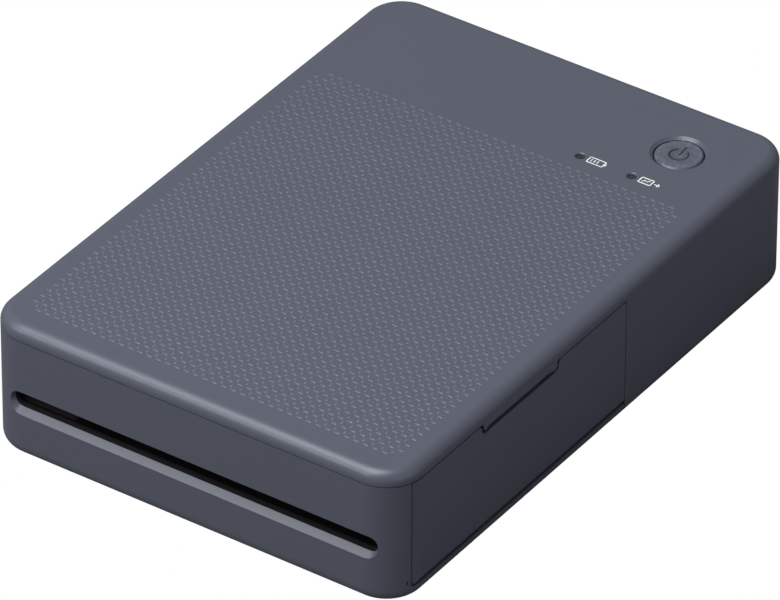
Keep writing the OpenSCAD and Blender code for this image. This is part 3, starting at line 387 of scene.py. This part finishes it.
def dash(cx, cy, along, r):
    half, side = r["length" if along else "crossLength"] / 2, r["width"] / 2
    heights = (-r["sunk"], r["height"] * r["shoulder"], r["height"])
    cut = r["corner"]
    verts = []
    for inset, z in zip(r["insets"], heights):
        a, b = half - inset * r["endInset"], side - inset
        flat = b * r["endFlat"]
        ring = [(-a, -flat), (-a + cut, -b), (a - cut, -b), (a, -flat),
                (a, flat), (a - cut, b), (-a + cut, b), (-a, flat)]
        for u, v in ring:
            x, y = (u, v) if along else (-v, u)
            verts.append((cx + x, cy + y, fieldZ + z))
    count = len(ring)
    faces = [tuple(range(2 * count, 3 * count))]
    for layer in (0, count):
        for k in range(count):
            n = (k + 1) % count
            faces.append((layer + k, layer + n, layer + n + count, layer + k + count))
    return verts, faces


def makeRelief(r):
    store = ([], [])
    pitch, lastCol, lastRow = r["pitch"], r["columns"] - 1, r["rows"] - 1
    leftX = -lastCol / 2 * pitch
    for row in range(r["rows"]):
        for col in range(r["columns"]):
            if col in (0, lastCol) and row in (0, lastRow):
                continue
            join(store, dash(leftX + col * pitch, r["rearY"] - row * pitch, True, r))
            if col < lastCol and row < lastRow:
                crossX, crossY = leftX + (col + 0.5) * pitch, r["rearY"] - (row + 0.5) * pitch
                join(store, dash(crossX, crossY, False, r))
    # the relief's colour is lighter than the shell's as painted highlight on the dashes
    makePiece("topRelief", *store, reliefPaintedHighlightMat, "case", "shell")


makeRelief(relief)
print("relief made")

# a strip of painted shade round the throat of the outlet, over the inner part of the bevel and
# the land behind it, where the slot lies in shade. Each ring has its depth behind frontY, its
# middle height, its end radius and half height, and the share of the thickness by which it
# stands off the wall
paintedShadeStrip = {
    "middleX": 0.65, "halfRun": 42.95, "frontY": -72.9, "thick": 0.13, "steps": 14,
    "rings": ((1.31, 14.70, 1.956, 2.077, -0.03), (1.36, 14.71, 1.93, 2.05, 1.0),
              (1.80, 14.90, 1.80, 1.80, 1.0), (2.62, 14.90, 1.80, 1.80, 1.0),
              (2.62, 14.90, 1.80, 1.80, -0.03)),
}


def makePaintedShadeStrip(s):
    verts, faces = [], []
    steps = s["steps"]
    count = 2 * (steps + 1)
    for depth, midZ, wide, tall, lift in s["rings"]:
        inset = lift * s["thick"]
        for k in range(count):
            side = 1 if k <= steps else -1
            turn = math.radians(-90 + 180 * (k % (steps + 1)) / steps)
            turn = turn if side > 0 else turn + math.pi
            verts.append((s["middleX"] + side * s["halfRun"] + (wide - inset) * math.cos(turn),
                          s["frontY"] + depth, midZ + (tall - inset) * math.sin(turn)))
    rings = len(s["rings"])
    for ring in range(rings):
        for k in range(count):
            n, up = (k + 1) % count, (ring + 1) % rings
            faces.append((ring * count + k, ring * count + n, up * count + n, up * count + k))
    # this strip is painted shade: a dark sheet laid where the slot is only in shade
    makePiece("outletPaintedShade", verts, faces, paintedShadeMat, "case", "dark_plastic")


makePaintedShadeStrip(paintedShadeStrip)

# the cover's flank carried on over the finger notch, down to the gap that a nail gets into;
# the curve, scoop and lean values repeat the notch and the hollow behind it in the source
tongue = {
    "seamGap": 0.1, "fromSeam": 38.55, "halfRun": 11.95, "curve": 1.25, "curveLift": 0.6,
    "notchZ": 26.95, "gap": 1.2, "topZ": 31.95, "sideX": 51.1, "edge": 2.7, "sunk": 0.012,
    "thick": 0.5, "endGap": 0.35, "rows": 16, "columns": 24,
    "scoopZ": 27.2, "scoopDeep": 1.6, "lean": 0.3443, "scoopR": 58.0, "scoopLap": 0.6,
}


def flankX(t, z, inward):
    reach = t["edge"] - inward
    rise = z - (coverTop - t["edge"])
    side = t["sideX"] - t["edge"]
    return side + (math.sqrt(max(reach ** 2 - rise ** 2, 0)) if rise > 0 else reach)


def tongueHalf(t, z):
    up = z - t["notchZ"] - t["curveLift"]
    if up < t["curve"]:
        run = t["halfRun"] + math.sqrt(max(t["curve"] ** 2 - (t["curve"] - up) ** 2, 0))
    else:
        run = t["halfRun"] + 2 * t["curve"]
    deep = t["scoopDeep"] - t["lean"] * (z - t["scoopZ"])
    scoop = math.sqrt(max(2 * t["scoopR"] * deep, 0))
    return min(run - t["endGap"], scoop + t["scoopLap"])


def makeTongue(t):
    verts, faces = [], []
    rows, cols = t["rows"], t["columns"]
    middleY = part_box("side_door")[1][1] / mm + t["seamGap"] - t["fromSeam"]
    bottomZ = t["notchZ"] + t["gap"]
    for inward in (t["sunk"], t["sunk"] + t["thick"]):
        for i in range(rows + 1):
            z = bottomZ + (t["topZ"] - bottomZ) * i / rows
            half = tongueHalf(t, z)
            for j in range(cols + 1):
                verts.append((flankX(t, z, inward), middleY + half * (2 * j / cols - 1), z))
    layer = (rows + 1) * (cols + 1)

    def at(i, j, k):
        return k * layer + i * (cols + 1) + j

    for i in range(rows):
        for j in range(cols):
            faces.append((at(i, j, 0), at(i, j + 1, 0), at(i + 1, j + 1, 0), at(i + 1, j, 0)))
            faces.append((at(i, j, 1), at(i + 1, j, 1), at(i + 1, j + 1, 1), at(i, j + 1, 1)))
        faces.append((at(i, 0, 0), at(i + 1, 0, 0), at(i + 1, 0, 1), at(i, 0, 1)))
        faces.append((at(i, cols, 0), at(i, cols, 1), at(i + 1, cols, 1), at(i + 1, cols, 0)))
    for j in range(cols):
        faces.append((at(0, j, 0), at(0, j, 1), at(0, j + 1, 1), at(0, j + 1, 0)))
        faces.append((at(rows, j, 0), at(rows, j + 1, 0), at(rows, j + 1, 1), at(rows, j, 1)))
    makePiece("notchTongue", verts, faces, shell, "case", "shell")


makeTongue(tongue)
print("outlet painted shade and notch tongue made")

# wound springs that press the print head down and close up as it lifts; here they are drawn at
# one fixed length
coil = {
    "wire": 0.14, "radius": 0.46, "turns": 9, "flatTurns": 0.8, "endRise": 0.1,
    "around": 14, "sides": 6, "middles": (-18.0, 1.5, 21.0), "travel": 1.2,
}


def makeSprings(c):
    low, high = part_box("head_springs")
    middleY = (low[1] + high[1]) / 2 / mm
    bottom, top = low[2] / mm + c["wire"], high[2] / mm - c["wire"]
    verts, faces = [], []
    steps, sides = c["turns"] * c["around"], c["sides"]
    for middleX in c["middles"]:
        start = len(verts)
        for i in range(steps + 1):
            turn = 2 * math.pi * i / c["around"]
            # the end turns lie nearly flat, as on a real spring
            share = (i / c["around"] - c["flatTurns"]) / (c["turns"] - 2 * c["flatTurns"])
            share = min(max(share, 0), 1)
            z = bottom + (top - bottom) * share + c["endRise"] * (i / steps - 0.5)
            for k in range(sides):
                a = 2 * math.pi * k / sides
                r = c["radius"] + c["wire"] * math.cos(a)
                verts.append((middleX + r * math.cos(turn), middleY + r * math.sin(turn),
                              z + c["wire"] * math.sin(a)))
        for i in range(steps):
            for k in range(sides):
                n = (k + 1) % sides
                p, q = start + i * sides, start + (i + 1) * sides
                faces.append((p + k, p + n, q + n, q + k))
        faces.append(tuple(range(start + sides - 1, start - 1, -1)))
        faces.append(tuple(range(start + steps * sides, start + (steps + 1) * sides)))
    springs = makePiece("headSprings", verts, faces, steel, "case", "steel")
    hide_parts("head_springs")
    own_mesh(springs)


makeSprings(coil)
print("springs made")

# how deep the strips of the symbol and the signs reach into the plastic
inkDepth = 0.05


def strip(points, width, zAt, lift):
    verts, faces = [], []
    for i, (x, y) in enumerate(points):
        a = points[max(i - 1, 0)]
        b = points[min(i + 1, len(points) - 1)]
        dx, dy = b[0] - a[0], b[1] - a[1]
        size = math.hypot(dx, dy)
        nx, ny = -dy / size * width / 2, dx / size * width / 2
        for rise in (lift, -inkDepth):
            for k in (-1, 1):
                verts.append((x + k * nx, y + k * ny, zAt(x + k * nx, y + k * ny) + rise))
        if i:
            p, q = 4 * (i - 1), 4 * i
            faces += [(p, q, q + 1, p + 1), (p, p + 2, q + 2, q), (p + 1, q + 1, q + 3, p + 3)]
    end = 4 * (len(points) - 1)
    faces += [(0, 1, 3, 2), (end, end + 2, end + 3, end + 1)]
    return verts, faces


# a ring with a gap of twice these degrees at the rear, and a bar in the gap; the strips follow
# the button's hollow, which is part of a sphere
symbol = {
    "radius": 2.0, "stroke": 0.36, "gap": 34, "barFrom": 0.1, "barTo": 2.95, "lift": 0.015,
    "arcSteps": 48, "barSteps": 8, "dishRadius": 12.0, "dishDepth": 0.25,
}


def makeSymbol(s):
    low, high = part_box("power_button")
    middleX, middleY = (low[0] + high[0]) / 2 / mm, (low[1] + high[1]) / 2 / mm
    topZ = high[2] / mm

    def dishZ(x, y):
        fall = math.sqrt(s["dishRadius"] ** 2 - (x * x + y * y))
        return topZ - s["dishDepth"] + s["dishRadius"] - fall

    start, stop = 90 + s["gap"], 450 - s["gap"]
    arcSteps, barSteps = s["arcSteps"], s["barSteps"]
    arc = [math.radians(start + (stop - start) * i / arcSteps) for i in range(arcSteps + 1)]
    ring = [(s["radius"] * math.cos(a), s["radius"] * math.sin(a)) for a in arc]
    barRun = s["barTo"] - s["barFrom"]
    bar = [(0, s["barFrom"] + barRun * i / barSteps) for i in range(barSteps + 1)]
    store = ([], [])
    for points in (ring, bar):
        join(store, strip(points, s["stroke"], dishZ, s["lift"]))
    verts = [(x + middleX, y + middleY, z) for x, y, z in store[0]]
    makePiece("powerSymbol", verts, store[1], inkDark, "button", "button", False)


makeSymbol(symbol)

# the two signs beside the lamps share one pen
signPen = {"stroke": 0.26, "lift": 0.02}


def flatTop(x, y):
    return fieldZ


def drawSign(name, at, lines):
    store = ([], [])
    for line in lines:
        points = [(at[0] + x, at[1] + y) for x, y in line]
        join(store, strip(points, signPen["stroke"], flatTop, signPen["lift"]))
    makePiece(name, *store, ink, "case", "white_plastic", False)


def frameLines(width, height):
    h = height / 2
    corners = ((0, -h), (width, -h), (width, h), (0, h))
    return [(corners[i], corners[(i + 1) % 4]) for i in range(4)]


# a battery with a pole and bars of charge
battery = {
    "at": (19.0, 43.4), "width": 3.8, "height": 1.9, "poleX": 4.15, "poleHalf": 0.42,
    "bars": 3, "barPitch": 0.75, "barHalf": 0.45,
}


def makeBattery(b):
    lines = frameLines(b["width"], b["height"])
    lines.append(((b["poleX"], -b["poleHalf"]), (b["poleX"], b["poleHalf"])))
    for k in range(b["bars"]):
        x = b["barPitch"] * (k + 1)
        lines.append(((x, -b["barHalf"]), (x, b["barHalf"])))
    drawSign("batterySign", b["at"], lines)


makeBattery(battery)

# a printed sheet with a hill on it, and an arrow out of it
sheet = {
    "at": (31.8, 43.4), "width": 2.9, "height": 1.9,
    "hill": ((0.6, -0.5), (1.2, 0.25), (1.6, -0.15), (2.3, 0.5)),
    "shaft": ((3.5, 0), (4.7, 0)), "arrowHead": ((4.2, 0.5), (4.75, 0), (4.2, -0.5)),
}


def makeSheet(s):
    lines = frameLines(s["width"], s["height"])
    drawSign("sheetSign", s["at"], lines + [s["hill"], s["shaft"], s["arrowHead"]])


makeSheet(sheet)
print("symbol and signs made")

# the camera sees white ground and sky, and the object is lit by a plain grey sky
backdrop = {"size": 3.0, "sky": (0.27, 0.27, 0.2754, 1), "floor": (0.15, 0.15, 0.16, 1)}
white = (1, 1, 1, 1)


def makeWorld(b):
    world = bpy.data.worlds.new("world")
    bpy.context.scene.world = world
    world.use_nodes = True
    world.node_tree.nodes.clear()
    fromCamera = addNode(world, "LightPath", out="Is Camera Ray")
    plain = addNode(world, "Background", {"Color": b["sky"]})
    seen = addNode(world, "Background", {"Color": white})
    mix = addNode(world, "MixShader", (fromCamera, plain, seen))
    addNode(world, "OutputWorld", (mix,))


def makeFloor(b):
    mat = newMaterial("studio_floor")
    fromCamera = addNode(mat, "LightPath", out="Is Camera Ray")
    plain = addNode(mat, "BsdfDiffuse", {"Color": b["floor"]})
    seen = addNode(mat, "Emission", {"Color": white, "Strength": 1.0})
    mix = addNode(mat, "MixShader", (fromCamera, plain, seen))
    addNode(mat, "OutputMaterial", (mix,))
    mesh = bpy.data.meshes.new("studioFloor")
    s = b["size"]
    mesh.from_pydata([(-s, -s, 0), (s, -s, 0), (s, s, 0), (-s, s, 0)], [], [(0, 1, 2, 3)])
    mesh.materials.append(mat)
    floor = bpy.data.objects.new("studioFloor", mesh)
    bpy.context.scene.collection.objects.link(floor)


# places and sizes in metres, each lamp points at the origin
lamps = {
    "key": {"at": (-0.38, -0.62, 0.42), "size": (0.7, 0.09), "watts": 1.7},
    "top": {"at": (-0.16, -0.35, 0.84), "size": (0.7, 0.7), "watts": 9.3},
    "side": {"at": (1.1, -0.2, 0.3), "size": (1.2, 0.6), "watts": 1.1},
}


def makeLamp(name, lamp):
    data = bpy.data.lights.new(name, "AREA")
    data.shape = "RECTANGLE"
    data.size, data.size_y = lamp["size"]
    data.energy = lamp["watts"]
    obj = bpy.data.objects.new(name, data)
    obj.location = lamp["at"]
    obj.rotation_euler = (-Vector(lamp["at"])).to_track_quat("-Z", "Y").to_euler()
    bpy.context.scene.collection.objects.link(obj)


makeWorld(backdrop)
makeFloor(backdrop)
for lampName, lampValues in lamps.items():
    makeLamp(lampName, lampValues)
print("stage and lamps made")

bpy.context.view_layer.update()
